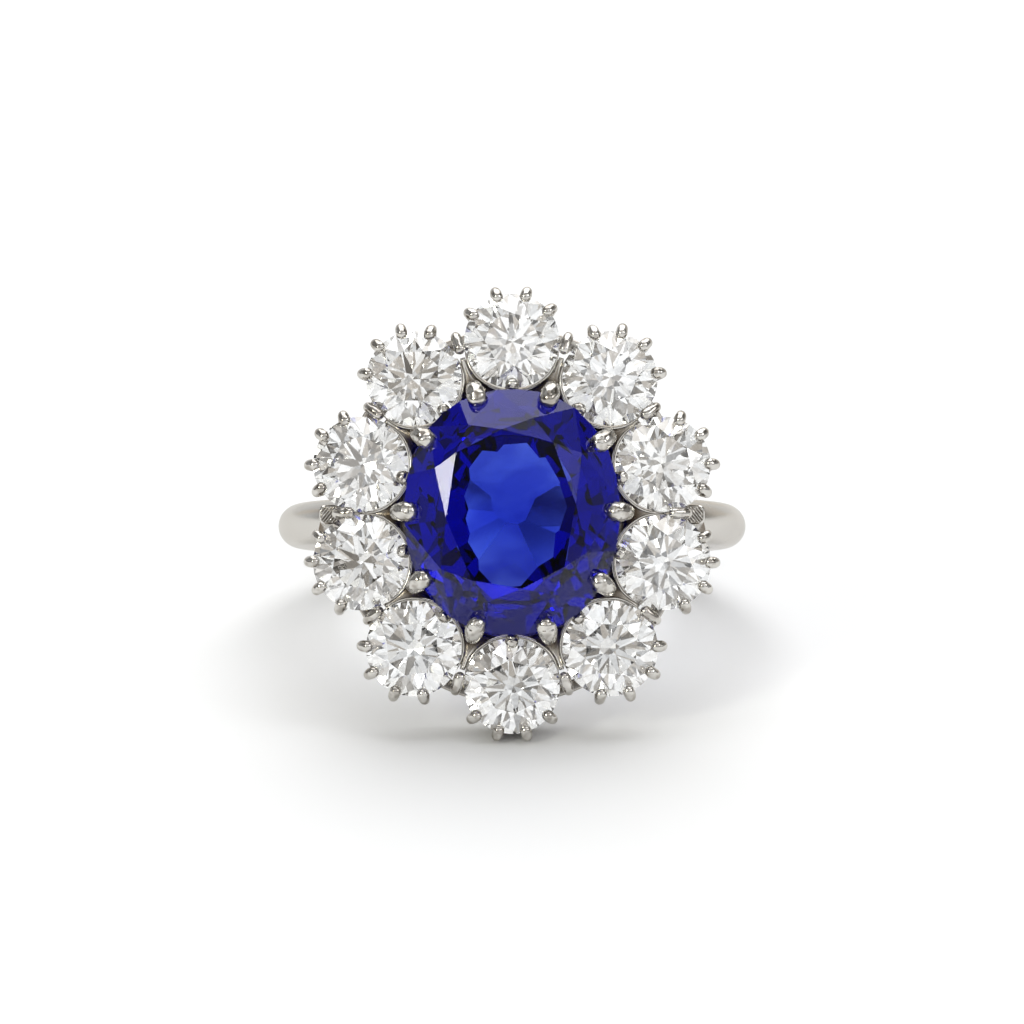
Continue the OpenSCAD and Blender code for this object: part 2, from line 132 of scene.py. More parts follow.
class RingSizes(bpy.types.PropertyGroup):
    """Sizes of the ring's pieces."""
    shank_wall: size("Shank wall", "Thickness of the shank from the finger to its crown", 1.6)
    shank_width: size("Shank width", "Width of the shank along the finger", 1.86)
    lug_length: size("Shoulder length", "Length across the hand of a shoulder's top", 0.86)
    lug_width: size("Shoulder width", "Width of a shoulder's top along the finger", 0.8)
    lug_top: size("Shoulder height", "Height of a shoulder's top over the finger's centre", 11.3)
    sapphire_length: size("Sapphire length", "Length of the sapphire along the finger", 10.2)
    sapphire_height: size("Sapphire height", "Height of its girdle over the finger's centre", 13.6)
    sapphire_crown: size("Sapphire crown", "Height of the crown over the girdle", 1.4)
    sapphire_pavilion: size("Sapphire pavilion", "Depth of the pavilion under the girdle", 3.6)
    sapphire_squareness: FloatProperty(
        name="Squareness", description="Power of the outline's curve, where 2 is an ellipse",
        default=2.2, min=2, max=3)
    diamond_height: size("Diamond height", "Height of the diamonds' girdles over the finger's centre", 12.4)
    diamond_lean: FloatProperty(
        name="Diamond lean", description="Outward lean of each diamond", default=math.radians(5),
        subtype="ANGLE")
    oval_width: size("Half oval width", "Half the width of the oval through the diamonds' centres", 6.58)
    oval_length: size("Half oval length", "Half the length of the oval through the diamonds' centres", 7.2)
    coronet_gap: size("Coronet gap", "How far outside the girdle the middle of the coronet's rail runs", 0.08)
    coronet_wall: size("Coronet wall", "Thickness of the coronet's rail", 0.7)
    claw_radius: size("Claw radius", "Radius of a diamond claw's wire", 0.21)
    bead_radius: size("Bead radius", "Radius of a diamond claw's tip", 0.245)
    inner_bead_radius: size("Inner bead radius", "Radius of a diamond's inner claw's tip", 0.28)
    big_claw_radius: size("Big claw radius", "Radius of a sapphire claw's wire", 0.34)
    big_bead_radius: size("Big bead radius", "Radius of a sapphire claw's tip", 0.41)


class RingColours(bpy.types.PropertyGroup):
    """Colours and shine of the ring's finishes."""
    metal: colour("Metal", "Polished white metal", (0.66, 0.64, 0.605))
    # The colour of the painted shade that darkens the metal under the stones and in the file's cuts; the
    # worked metal's stains take it too.
    painted_shade: colour("Recess", "White metal in the recesses under the stones", (0.16, 0.125, 0.09))
    metal_roughness: FloatProperty(
        name="Metal roughness", description="Roughness of the polished metal", default=0.11, min=0, max=1,
        subtype="FACTOR")
    sapphire: colour("Sapphire", "Light that the sapphire lets through", (0.19, 0.37, 0.89))
    sapphire_depth: FloatProperty(
        name="Sapphire depth", description="How strongly the sapphire takes in light, for each metre",
        default=950, min=0)
    diamond: colour("Diamond", "Tint of the diamonds", (0.985, 0.985, 0.975))
    floor: colour("Floor", "Pale floor", (0.885, 0.893, 0.905))


def to_row(points):
    """Takes points from the ring's own frame to the frame of the solids."""
    return HOLE_CENTRE + points @ RING_AXES


def unit(v):
    """Vectors of length 1 along the last axis."""
    return v / np.linalg.norm(v, axis=-1, keepdims=True)


def polar(angle, r=1.0, z=0.0):
    """Points at an angle in degrees, a radius and a height."""
    a = np.radians(angle)
    x, y, h = np.broadcast_arrays(r * np.cos(a), r * np.sin(a), z)
    return np.stack([x, y, h], axis=-1)


def smooth_step(x, low, high):
    """Rises from 0 at low to 1 at high, with level ends."""
    t = np.clip((x - low) / (high - low), 0, 1)
    return t * t * (3 - 2 * t)


def grid_faces(rows, columns, around_rows=False):
    """Quads of a grid of points, counted row by row: each row is a loop, and the rows may be one as well."""
    i, j = np.meshgrid(np.arange(rows if around_rows else rows - 1), np.arange(columns), indexing="ij")
    i_next, j_next = (i + 1) % rows, (j + 1) % columns
    quads = np.stack([i * columns + j, i * columns + j_next, i_next * columns + j_next,
                      i_next * columns + j], axis=-1)
    return quads.reshape(-1, 4)


def copies(faces, points_each, count):
    """The same faces for each of several like shapes, one after another."""
    return (faces[None] + points_each * np.arange(count)[:, None, None]).reshape(-1, faces.shape[1])


def tube_faces(rows, columns, count=1):
    """Faces of like tubes that are closed by their first and last rows."""
    row = np.arange(columns)
    ends = np.stack([row[::-1], (rows - 1) * columns + row])
    return [copies(group, rows * columns, count) for group in (grid_faces(rows, columns), ends)]


def ring_faces(rows, columns, count=1):
    """Faces of like tubes whose last row joins the first."""
    return [copies(grid_faces(rows, columns, around_rows=True), rows * columns, count)]


def make_piece(name, points, faces, material, nodes, smooth=True, painted_shade=None):
    """Makes a piece from points in the ring's frame, groups of faces and how much painted shade each point
    gets.
    """
    mesh = bpy.data.meshes.new(name)
    mesh.from_pydata(to_row(points.reshape(-1, 3)).tolist(), [],
                     [face for group in faces for face in group.tolist()])
    mesh.polygons.foreach_set("use_smooth", np.full(len(mesh.polygons), smooth))
    # the painted shade of each point is kept as an attribute, which darkens the metal's colour
    if painted_shade is not None:
        layer = mesh.attributes.new("painted_shade", "FLOAT", "POINT")
        layer.data.foreach_set("value", painted_shade.reshape(-1).astype(np.float32))
    mesh.validate()
    mesh.update()
    mesh.materials.append(material)
    piece = bpy.data.objects.new(name, mesh)
    bpy.context.scene.collection.objects.link(piece)
    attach(piece, "root")
    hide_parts(*nodes)


# Places

def oval_radius(angle, a, b):
    """Polar radius of an ellipse with half axes a and b."""
    t = np.radians(angle)
    return a * b / np.hypot(b * np.cos(t), a * np.sin(t))


def diamond_angle(k):
    """Polar angle of diamond k, clockwise from the top."""
    return 90.0 - 360.0 / DIAMONDS * np.asarray(k)


def diamond_centre(k, sizes):
    """Centre of diamond k's girdle in the ring's frame."""
    angle = diamond_angle(k)
    return polar(angle, oval_radius(angle, sizes.oval_width, sizes.oval_length), sizes.diamond_height)


def from_seat(k, points, sizes):
    """Takes points from the leaning frame of diamond k, with X straight outwards, to the ring's frame."""
    angle = diamond_angle(k)
    lean = sizes.diamond_lean
    out, along = polar(angle), polar(angle + 90)
    axes = np.stack([out * math.cos(lean) - UP * math.sin(lean), along,
                     UP * math.cos(lean) + out * math.sin(lean)])
    return diamond_centre(k, sizes) + points @ axes


def valley(k, sizes):
    """Middle between diamond k and the next one, and the way outwards from it."""
    middle = (diamond_centre(k, sizes) + diamond_centre((k + 1) % DIAMONDS, sizes)) / 2
    return middle, unit(middle * (1, 1, 0))


def cushion_radius(angle, sizes):
    """Polar radius of the sapphire's outline: |x/a|^n + |y/b|^n = 1."""
    n = sizes.sapphire_squareness
    t = np.radians(angle)
    a, b = SAPPHIRE_WIDTH / 2, sizes.sapphire_length / 2
    return (np.abs(np.cos(t) / a) ** n + np.abs(np.sin(t) / b) ** n) ** (-1 / n)


# Stones

# Main facets of a stone's crown, and corners of its girdle's edge.
MAINS = 8
RIM = 4 * MAINS
# Where the stars' tips, the girdle's upper and lower corners and the pavilion's start in a stone's points.
STARS, UPPER_RIM, LOWER_RIM, PAVILION = MAINS, 2 * MAINS, 2 * MAINS + RIM, 2 * MAINS + 2 * RIM

# A diamond's half girdle, crown, pavilion and table, as shares of its width.
DIAMOND_GIRDLE, DIAMOND_CROWN, DIAMOND_PAVILION, DIAMOND_TABLE = 0.015, 0.155, 0.43, 0.56
# How far a diamond's cut wanders: its main facets in degrees, its culet as a share of its width, and the
# corners of its table as shares of the table.
MAIN_WANDER = 0.6
CULET_WANDER = 0.02
TABLE_WANDER = (0.985, 1.015)
# Heights between which the stars' tips and the lower halves' tips lie, as shares of crown and pavilion.
STAR_TIPS = (0.52, 0.58)
LOWER_TIPS = (0.77, 0.84)

# The sapphire's half girdle, and its stars' tips as a share of its crown.
SAPPHIRE_GIRDLE = 0.12 * MM
SAPPHIRE_STARS = 0.8
# Its pavilion before it is cut: size of the step as a share of the outline, and depths of step and point.
STEP_SIZE = 0.7
STEP_DEPTH, POINT_DEPTH = 0.44, 1.25
# Corners that are nearer than this to a cut, in millimetres, lie on it.
CUT_TOLERANCE = 1e-5


def planes_through(a, b, c):
    """Normals and offsets of the planes through three points."""
    normal = np.cross(b - a, c - a)
    return normal, np.sum(normal * a, axis=-1)


def height_on(normal, offset, points):
    """Height of each plane over a point of the plan."""
    return (offset - normal[..., 0] * points[..., 0] - normal[..., 1] * points[..., 1]) / normal[..., 2]


def rim_angles(mains):
    """Polar angle of the 32 corners of a girdle: four steps from each main facet to the next."""
    following = np.roll(mains, -1) + np.where(np.arange(MAINS) == MAINS - 1, 360, 0)
    return (mains[:, None] + (following - mains)[:, None] * np.arange(4) / 4).reshape(-1)


def half_tips(outline, mains, rim_z, inner, z):
    """Where neighbouring main facets meet at the heights z: the tips of the stars, or of the lower halves.

    A main facet is the plane through its corner of the rim, along the outline there, and its inner corner.
    """
    tip = outline(mains, rim_z)
    along = outline(mains + 1, rim_z) - outline(mains - 1, rim_z)
    normal, offset = planes_through(tip, tip + along, inner)
    other, other_offset = np.roll(normal, -1, axis=0), np.roll(offset, -1)
    u, v = offset - normal[:, 2] * z, other_offset - other[:, 2] * z
    det = normal[:, 0] * other[:, 1] - normal[:, 1] * other[:, 0]
    return np.stack([(u * other[:, 1] - v * normal[:, 1]) / det, (normal[:, 0] * v - other[:, 0] * u) / det,
                     np.broadcast_to(z, u.shape)], axis=-1)


def scalloped_rim(outline, mains, rim_z, inner):
    """Girdle corners: the odd ones lie on the half facets, so that the girdle is scalloped."""
    rim = outline(rim_angles(mains), rim_z)
    before, after = rim[0::2], np.roll(rim, -2, axis=0)[0::2]
    normal, offset = planes_through(before, after, inner)
    rim[1::2, 2] = height_on(normal, offset, rim[1::2])
    return rim


def crown_faces():
    """Faces of a crown and its girdle: the table, the stars, the kites, two rows of halves and the sides."""
    table = np.arange(MAINS)
    star, edge = STARS + table, UPPER_RIM + 4 * table
    upper = UPPER_RIM + np.arange(RIM)
    lower = upper + RIM
    return [
        table[None],
        np.stack([np.roll(table, -1), table, star], axis=-1),
        np.stack([np.roll(star, 1), edge, star, table], axis=-1),
        np.stack([edge, edge + 1, edge + 2, star], axis=-1),
        np.stack([edge + 2, edge + 3, np.roll(edge, -1), star], axis=-1),
        np.stack([lower, np.roll(lower, -1), np.roll(upper, -1), upper], axis=-1),
    ]


def brilliant(diameter, turn, seed):
    """Round brilliant with its girdle at 0, whose facets lie on planes through eight main corners a side."""
    rng = np.random.default_rng(seed)
    girdle, crown = DIAMOND_GIRDLE * diameter, DIAMOND_CROWN * diameter
    pavilion = DIAMOND_PAVILION * diameter
    mains = turn + 360 / MAINS * np.arange(MAINS) + rng.uniform(-MAIN_WANDER, MAIN_WANDER, MAINS)

    def outline(angle, z):
        """A circle."""
        return polar(angle, diameter / 2, z)

    table = polar(mains, DIAMOND_TABLE * diameter / 2 * rng.uniform(*TABLE_WANDER, MAINS), girdle + crown)
    star = half_tips(outline, mains, girdle, table, girdle + crown * rng.uniform(*STAR_TIPS, MAINS))
    upper = scalloped_rim(outline, mains, girdle, np.repeat(star, 2, axis=0))
    culet = np.array([[*rng.uniform(-CULET_WANDER, CULET_WANDER, 2) * diameter, -girdle - pavilion]])
    bottom = half_tips(outline, mains, -girdle, np.repeat(culet, MAINS, axis=0),
                       -girdle - pavilion * rng.uniform(*LOWER_TIPS, MAINS))
    lower = scalloped_rim(outline, mains, -girdle, np.repeat(bottom, 2, axis=0))
    points = np.concatenate([table, star, upper, lower, bottom, culet])
    tip = PAVILION + np.arange(MAINS)
    edge = LOWER_RIM + 4 * np.arange(MAINS)
    faces = crown_faces() + [
        np.stack([tip, edge, np.roll(tip, 1), np.full(MAINS, PAVILION + MAINS)], axis=-1),
        np.stack([tip, edge + 2, edge + 1, edge], axis=-1),
        np.stack([tip, np.roll(edge, -1), edge + 3, edge + 2], axis=-1),
    ]
    return points, faces


def cushion_crown(sizes):
    """The cushion's outline, its table's corners, its stars' tips and its girdle's upper corners."""
    girdle, crown = SAPPHIRE_GIRDLE, sizes.sapphire_crown

    def outline(angle, z):
        """The cushion's plan."""
        return polar(angle, cushion_radius(angle, sizes), z)

    table = outline(SAPPHIRE_MAINS, girdle + crown)
    table[:, :2] *= TABLE_SHARES[:, None]
    star = half_tips(outline, SAPPHIRE_MAINS, girdle, table, girdle + SAPPHIRE_STARS * crown)
    upper = scalloped_rim(outline, SAPPHIRE_MAINS, girdle, np.repeat(star, 2, axis=0))
    return outline, table, star, upper


def cushion_cut(sizes):
    """Cushion with a brilliant crown over a step and a steep point, which PAVILION_CUTS then take off."""
    girdle, depth = SAPPHIRE_GIRDLE, sizes.sapphire_pavilion
    outline, table, star, upper = cushion_crown(sizes)
    corners = outline(rim_angles(SAPPHIRE_MAINS)[0::2], 0.0)
    step = corners * (STEP_SIZE, STEP_SIZE, 0) + (0, 0, -girdle - STEP_DEPTH * depth)
    lower = scalloped_rim(outline, SAPPHIRE_MAINS, -girdle, step)
    point = np.array([[0, 0, -girdle - POINT_DEPTH * depth]])
    points = np.concatenate([table, star, upper, lower, step, point])
    sides = len(step)
    corner = PAVILION + np.arange(sides)
    edge = LOWER_RIM + 2 * np.arange(sides)
    faces = crown_faces() + [
        np.stack([corner, np.roll(corner, -1), np.roll(edge, -1), edge + 1, edge], axis=-1),
        np.stack([np.full(sides, PAVILION + sides), np.roll(corner, -1), corner], axis=-1),
    ]
    azimuth, slope, height = np.array(PAVILION_CUTS).T
    return cut_away(points, faces, azimuth, slope, height * MM - girdle - depth)


def cut_away(points, faces, azimuth, slope, height):
    """Takes off a stone's underside along planes, each with its azimuth, slope and height on the axis.

    The cuts are made in millimetres. Each leaves out what lies beyond its plane and closes the gap.
    """
    shape = bmesh.new()
    corners = [shape.verts.new(point / MM) for point in points]
    for group in faces:
        for face in group:
            shape.faces.new([corners[c] for c in face])
    tilt = np.radians(slope)[:, None]
    normals = polar(azimuth) * np.sin(tilt) - UP * np.cos(tilt)
    for normal, z in zip(normals, height / MM):
        parts = shape.verts[:] + shape.edges[:] + shape.faces[:]
        cut = bmesh.ops.bisect_plane(shape, geom=parts, plane_co=(0, 0, z), plane_no=normal, clear_outer=True,
                                     dist=CUT_TOLERANCE)
        edges = [part for part in cut["geom_cut"] if isinstance(part, bmesh.types.BMEdge)]
        if edges:
            bmesh.ops.contextual_create(shape, geom=edges)
    bmesh.ops.recalc_face_normals(shape, faces=shape.faces[:])
    shape.verts.index_update()
    points = np.array([corner.co[:] for corner in shape.verts]) * MM
    faces = [np.array([[corner.index for corner in face.verts]]) for face in shape.faces]
    shape.free()
    return points, faces


# Metal shapes

# Rings of points on a claw's leg, round its knee, on its straight end and on its dome.
LEG_RINGS, KNEE_RINGS, END_RINGS, DOME_RINGS = 4, 11, 3, 7
# The longest bend as a share of the way from knee to tip, and the last ring as a share of the bead.
LONGEST_BEND, LAST_RING = 0.7, 0.02
# Shares of the way round the knee at which a claw starts to swell and to be uneven.
SWELLS_FROM, UNEVEN_FROM = 0.2, 0.5
# Sines that make a claw uneven: waves round it, and their turn from ring to ring in radians.
UNEVEN_WAVES = ((3, 0.7), (5, -0.9), (2, 1.3))


def claw_path(foot, knee, tip, leg_radius, bead_radius, bend):
    """Middle, direction, radius and unevenness of each ring of the claws.

    The path is a straight leg, a curve of the second degree that starts and ends at the length bend from the
    knee, a straight end and a quarter circle. The radius goes over to the bead's round the knee.
    """
    up, lean = unit(knee - foot), unit(tip - knee)
    reach = np.minimum(bend, LONGEST_BEND * np.linalg.norm(tip - knee, axis=-1, keepdims=True))
    start, end = knee - up * reach, knee + lean * reach
    foot, knee, tip, start, end, up, lean = (v[:, None] for v in (foot, knee, tip, start, end, up, lean))
    leg = np.linspace(0, 1, LEG_RINGS + 1)[:-1, None]
    bent = np.linspace(0, 1, KNEE_RINGS)
    last = np.linspace(0, 1, END_RINGS + 1)[1:, None]
    dome = np.radians(np.linspace(0, 90, DOME_RINGS + 1))[1:]
    t = bent[:, None]
    path = np.concatenate([
        foot + (start - foot) * leg,
        (1 - t) ** 2 * start + 2 * t * (1 - t) * knee + t ** 2 * end,
        end + (tip - end) * last,
        tip + bead_radius * np.sin(dome)[:, None] * lean,
    ], axis=1)
    tangent = np.concatenate([
        np.repeat(up, LEG_RINGS, axis=1), unit((1 - t) * up + t * lean),
        np.repeat(lean, END_RINGS + DOME_RINGS, axis=1)], axis=1)
    radius = np.concatenate([
        np.full(LEG_RINGS, leg_radius),
        leg_radius + (bead_radius - leg_radius) * smooth_step(bent, SWELLS_FROM, 1.0),
        np.full(END_RINGS, bead_radius), bead_radius * np.maximum(np.cos(dome), LAST_RING)])
    pressed = np.concatenate([
        np.zeros(LEG_RINGS), smooth_step(bent, UNEVEN_FROM, 1.0), np.ones(END_RINGS + DOME_RINGS)])
    return path, tangent, radius, pressed


def wires(foot, knee, tip, leg_radius, bead_radius, bend=0.3 * MM, sides=20, uneven=0.02):
    """Claws: round wires from foot to knee to tip, with a swelling, domed and slightly uneven end.

    Each ring of points is at right angles to the path, in the plane of the claw and the line square to it.
    Past the knee, sines round the claw make its radius uneven, each from a random start.
    """
    path, tangent, radius, pressed = claw_path(foot, knee, tip, leg_radius, bead_radius, bend)
    side = unit(np.cross(tangent[:, 0], tangent[:, -1]))[:, None]
    normal = np.cross(side, tangent)
    count, rings = path.shape[:2]
    turn = np.radians(360 / sides * np.arange(sides))
    row = np.arange(rings)[:, None]
    starts = np.random.default_rng(count).uniform(0, 2 * math.pi, (len(UNEVEN_WAVES), count, 1, 1))
    flats = sum(np.sin(waves * turn + shift * row + start)
                for (waves, shift), start in zip(UNEVEN_WAVES, starts))
    radius = radius[:, None] * (1 + uneven * pressed[:, None] * flats)
    points = path[:, :, None] + radius[..., None] * (
        np.cos(turn)[:, None] * normal[:, :, None] + np.sin(turn)[:, None] * side[:, :, None])
    return points.reshape(-1, 3), tube_faces(rings, sides, count)


def join(*shapes):
    """Puts several shapes, each points with a list of faces, together as one."""
    points, faces, first = [], [], 0
    for shape_points, shape_faces in shapes:
        points.append(shape_points.reshape(-1, 3))
        faces += [np.asarray(group) + first for group in shape_faces]
        first += len(points[-1])
    return np.concatenate(points), faces


def oval_band(section, a, b, z):
    """A closed section of (out, up) points carried round an oval, square to it."""
    steps = 240
    angle = 360 / steps * np.arange(steps)
    centre = polar(angle, oval_radius(angle, a, b), z)
    along = unit(np.roll(centre, -1, axis=0) - np.roll(centre, 1, axis=0))
    out = np.stack([along[:, 1], -along[:, 0], np.zeros(steps)], axis=-1)
    points = centre[:, None] + section[:, :1] * out[:, None] + section[:, 1:] * UP
    return points, ring_faces(steps, len(section))


def rounded_bar(width, height, edge=0.08 * MM, corner=5):
    """Section of a bar with its foot at 0, whose corners are quarter circles of the radius edge."""
    turns = np.radians(np.linspace(0, 90, corner))
    quarter = np.stack([np.sin(turns), 1 - np.cos(turns)], axis=-1) * edge
    lower_right = np.stack([width / 2 - edge + quarter[:, 0], quarter[:, 1]], axis=-1)
    upper_right = np.stack([lower_right[::-1, 0], height - lower_right[::-1, 1]], axis=-1)
    right = np.concatenate([lower_right, upper_right])
    return np.concatenate([right, right[::-1] * (-1, 1)])


def painted_shade_by_height(points, low, high):
    """Painted shade by height: 1 at low, falling to 0 at high in the ring's frame, so that what lies deep
    under the stones is darker.
    """
    return 1 - smooth_step(points.reshape(-1, 3)[:, 2], low, high)


def shank(sizes):
    """Half-round bar round the finger, whose ends are cut upright along the inside of the coronet.

    Its section is level on the finger's side, between quarter circles, and an arc of a circle outside.
    """
    steps, edge_points, dome_points = 360, 5, 33
    easing, arc = 0.12 * MM, math.radians(80)
    half, crown = sizes.shank_width / 2, HOLE_RADIUS + sizes.shank_wall
    ease = np.radians(np.linspace(0, 90, edge_points))
    edge = np.stack([HOLE_RADIUS + easing * (1 - np.sin(ease)), -half + easing * (1 - np.cos(ease))], axis=-1)
    dome_radius = half / math.sin(arc)
    t = np.linspace(arc, -arc, dome_points)
    dome = np.stack([crown - dome_radius + dome_radius * np.cos(t), dome_radius * np.sin(t)], axis=-1)
    section = np.concatenate([edge, edge[::-1] * (1, -1), dome])
    opening = SAPPHIRE_WIDTH / 2 + sizes.coronet_gap - sizes.coronet_wall / 2
    start = math.pi / 2 - math.asin(opening / crown)
    turn = np.linspace(start, -math.pi - start, steps)[:, None]
    out, rise = np.cos(turn) * section[:, 0], np.sin(turn) * section[:, 0]
    over = (np.abs(out) < opening) & (rise > 0)
    out = np.where(over, np.sign(out) * opening, out)
    points = np.stack([out, np.broadcast_to(section[:, 1], out.shape), rise], axis=-1)
    return points, tube_faces(steps, len(section)), None


def shoulders(sizes):
    """Both shoulders: rounded oblong rings stacked up to a flat top, which a file has cut across.

    A ring's points lie at the square roots of cosine and sine, with their signs, and the file's cuts are
    squares of a raised cosine over the way across them.
    """
    # points round each ring, rings up the side, and rings from the top's edge to its middle
    steps, levels, loops = 120, 36, 30
    cut_spacing, cut_depth, cut_slant, cut_shade = 0.14 * MM, 0.035 * MM, 0.8, 0.75
    beside_valley, bevel = 0.915, 0.06
    # the right shoulder stands outside the third and the fourth diamond
    middle, _ = valley(2, sizes)
    inner = np.linalg.norm(middle[:2]) / MM + beside_valley
    outer = inner + sizes.lug_length / MM
    width, top = sizes.lug_width / MM, sizes.lug_top / MM
    # each row, in millimetres: height, inner and outer reach from the finger's centre, width along the finger
    rows = np.array([
        (4.0, 8.2, 9.0, 1.1),
        (5.2, 7.5, 8.6, 1.2),
        (6.4, 7.1, outer + 0.02, 1.15),
        (8.6, 7.1, outer - 0.02, 1.0),
        (9.6, inner - 0.02, outer, 0.86),
        (10.6, inner, outer, width),
        (top - 0.08, inner, outer, width),
        (top, inner + bevel, outer - bevel, width - 2 * bevel),
    ]) * MM
    row, level = np.arange(len(rows)), np.linspace(0, len(rows) - 1, levels)
    height, inner, outer, width = (np.interp(level, row, column)[:, None] for column in rows.T)
    turn = 2 * math.pi / steps * np.arange(steps)
    circle = np.stack([np.cos(turn), np.sin(turn)])
    oblong = np.sign(circle) * np.sqrt(np.abs(circle))
    side = np.stack([(inner + outer) / 2 + (outer - inner) / 2 * oblong[0], width / 2 * oblong[1],
                     np.broadcast_to(height, (levels, steps))], axis=-1)
    rim = side[-1]
    centre = rim.mean(axis=0)
    shrink = np.linspace(1, 0.02, loops)[1:, None]
    face = centre + (rim - centre) * shrink[..., None]
    cut = 0.5 - 0.5 * np.cos((face[..., 0] + cut_slant * face[..., 1]) * 2 * math.pi / cut_spacing)
    # the cuts run out towards the edge, over a tenth of the way to the middle
    cut = cut ** 2 * smooth_step(1 - shrink, 0.02, 0.12)
    face[..., 2] -= cut_depth * cut
    # painted shade: darker down the posts under the head, from 9.5 mm high to 6 mm, and in the file's cuts
    painted_shade = np.concatenate([smooth_step(side[..., 2], 9.5 * MM, 6 * MM), cut_shade * cut])
    points = np.concatenate([side, face])
    faces = tube_faces(len(points), steps)
    mirrored = points * (-1, 1, 1), [group[:, ::-1] for group in faces]
    return *join((points, faces), mirrored), np.concatenate([painted_shade, painted_shade])


def gallery(sizes):
    """The rail under the collets, a little outside the oval of the diamonds, and the coronet's rail."""
    rail_width, rail_height, rail_foot = 0.5 * MM, 0.45 * MM, 10.21 * MM
    wider, longer, shade = 0.6 * MM, 0.45 * MM, 0.4
    coronet_height, coronet_foot = 0.85 * MM, 9.9 * MM
    rail = oval_band(rounded_bar(rail_width, rail_height), sizes.oval_width + wider,
                     sizes.oval_length + longer, rail_foot)
    coronet = oval_band(rounded_bar(sizes.coronet_wall, coronet_height),
                        SAPPHIRE_WIDTH / 2 + sizes.coronet_gap,
                        sizes.sapphire_length / 2 + sizes.coronet_gap, coronet_foot)
    points, faces = join(rail, coronet)
    # painted shade, even over both rails under the stones
    return points, faces, np.full(len(points), shade)


def collets(sizes):
    """Ten tapering rings, each from a narrow foot to a thin lip that is wider and higher at the sapphire."""
    steps = 96
    # in millimetres: how far the lip is inside the girdle's edge and under it, and how much wider and higher
    # it gets from 80 to 135 degrees from straight outwards
    inside, under, wider, higher = 0.05, 0.16, 0.19, 0.12
    angle = 360 / steps * np.arange(steps)
    inward = smooth_step(180 - np.abs(angle - 180), 80, 135)[:, None]
    # each corner of the foot, in millimetres: distance from the stone's axis and height from its girdle
    foot = np.array([(1.02, -1.9), (1.06, -1.94), (1.28, -1.94), (1.32, -1.9)])
    # each corner of the lip, in millimetres: distance from its rim and height from its top
    lip = np.array([(-0.02, -0.14), (0.0, -0.07), (-0.02, -0.02), (-0.05, 0.0), (-0.1, -0.03),
                    (-0.13, -0.12)])
    rim, top = DIAMOND_WIDTH / 2 / MM - inside + wider * inward, -under + higher * inward
    out = np.concatenate([np.tile(foot[:, 0], (steps, 1)), rim + lip[:, 0]], axis=1)
    height = np.concatenate([np.tile(foot[:, 1], (steps, 1)), top + lip[:, 1]], axis=1)
    ring = polar(angle[:, None], out * MM, height * MM)
    points = np.stack([from_seat(k, ring, sizes) for k in range(DIAMONDS)])
    # painted shade, darker towards the collets' feet
    return points, ring_faces(*out.shape, DIAMONDS), painted_shade_by_height(points, low=9.8 * MM, high=12.1 * MM)


def webs(sizes):
    """Ten bars from between two collets towards the sapphire, which sink evenly and widen as u^1.5."""
    # in millimetres, at the start of a bar and added by its end: half width, reach inwards, depth
    half_width, reach, depth = (0.1, 1.05), (-0.1, 1.75), (0.35, 0.5)
    rings, height = 12, 0.5
    middle, out = valley(np.arange(DIAMONDS), sizes)
    side = np.cross(out, UP)
    # each corner of the section: share of the half width, share of the height
    section = np.array([(-1, -0.5), (1, -0.5), (1, 0.3), (0.8, 0.5), (0, 0.5), (-0.8, 0.5), (-1, 0.3)])
    # u is the share of the way inwards
    u = np.linspace(0, 1, rings)[:, None]
    across = section[:, 0] * (half_width[0] + half_width[1] * u ** 1.5) * MM
    inward = (reach[0] + reach[1] * u) * MM
    rise = (section[:, 1] * height - depth[0] - depth[1] * u) * MM
    points = (middle[:, None, None] - out[:, None, None] * inward[..., None]
              + side[:, None, None] * across[..., None] + UP * rise[..., None])
    # painted shade, darker towards the sapphire, where the webs run in under the stones
    painted_shade = np.broadcast_to(smooth_step(u, 0.3, 0.75), points.shape[:3])
    return points, tube_faces(*across.shape, DIAMONDS), painted_shade


def diamond_claws(sizes):
    """Claws of the diamonds: four outer ones and an inner one each, and ten that two diamonds share."""
    radius = DIAMOND_WIDTH / 2
    # distance from the stone's axis, and height from its girdle
    foot = (1.5 * MM, -1.94 * MM)

    def own(claws, knee, tip, bead, uneven):
        """Claws of every diamond: reach and height of knee and tip past the girdle, in millimetres."""
        places = [foot] + [(radius + reach * MM, height * MM) for reach, height in (knee, tip)]
        rows = [np.concatenate([from_seat(k, polar(CLAW_ANGLES[k, claws], r, z), sizes)
                                for k in range(DIAMONDS)]) for r, z in places]
        return wires(*rows, sizes.claw_radius, bead, uneven=uneven)

    outer = own(slice(INNER_CLAW), (0.25, 0.12), (-0.08, 0.35), sizes.bead_radius, 0.015)
    inner = own(slice(INNER_CLAW, None), (0.16, 0.2), (-0.12, 0.34), sizes.inner_bead_radius, 0.05)
    middle, out = valley(np.arange(DIAMONDS), sizes)
    # foot, knee and tip of the shared ones, in mm: outwards from between two diamonds, up from their girdles
    places = ((0.86, -2.1), (1.04, 0.12), (0.46, 0.36))
    shared = wires(*(middle + outward * MM * out + height * MM * UP for outward, height in places),
                   sizes.claw_radius, sizes.bead_radius)
    points, faces = join(outer, inner, shared)
    # painted shade, darker down the claws towards their feet
    return points, faces, painted_shade_by_height(points, low=10.2 * MM, high=12.2 * MM)


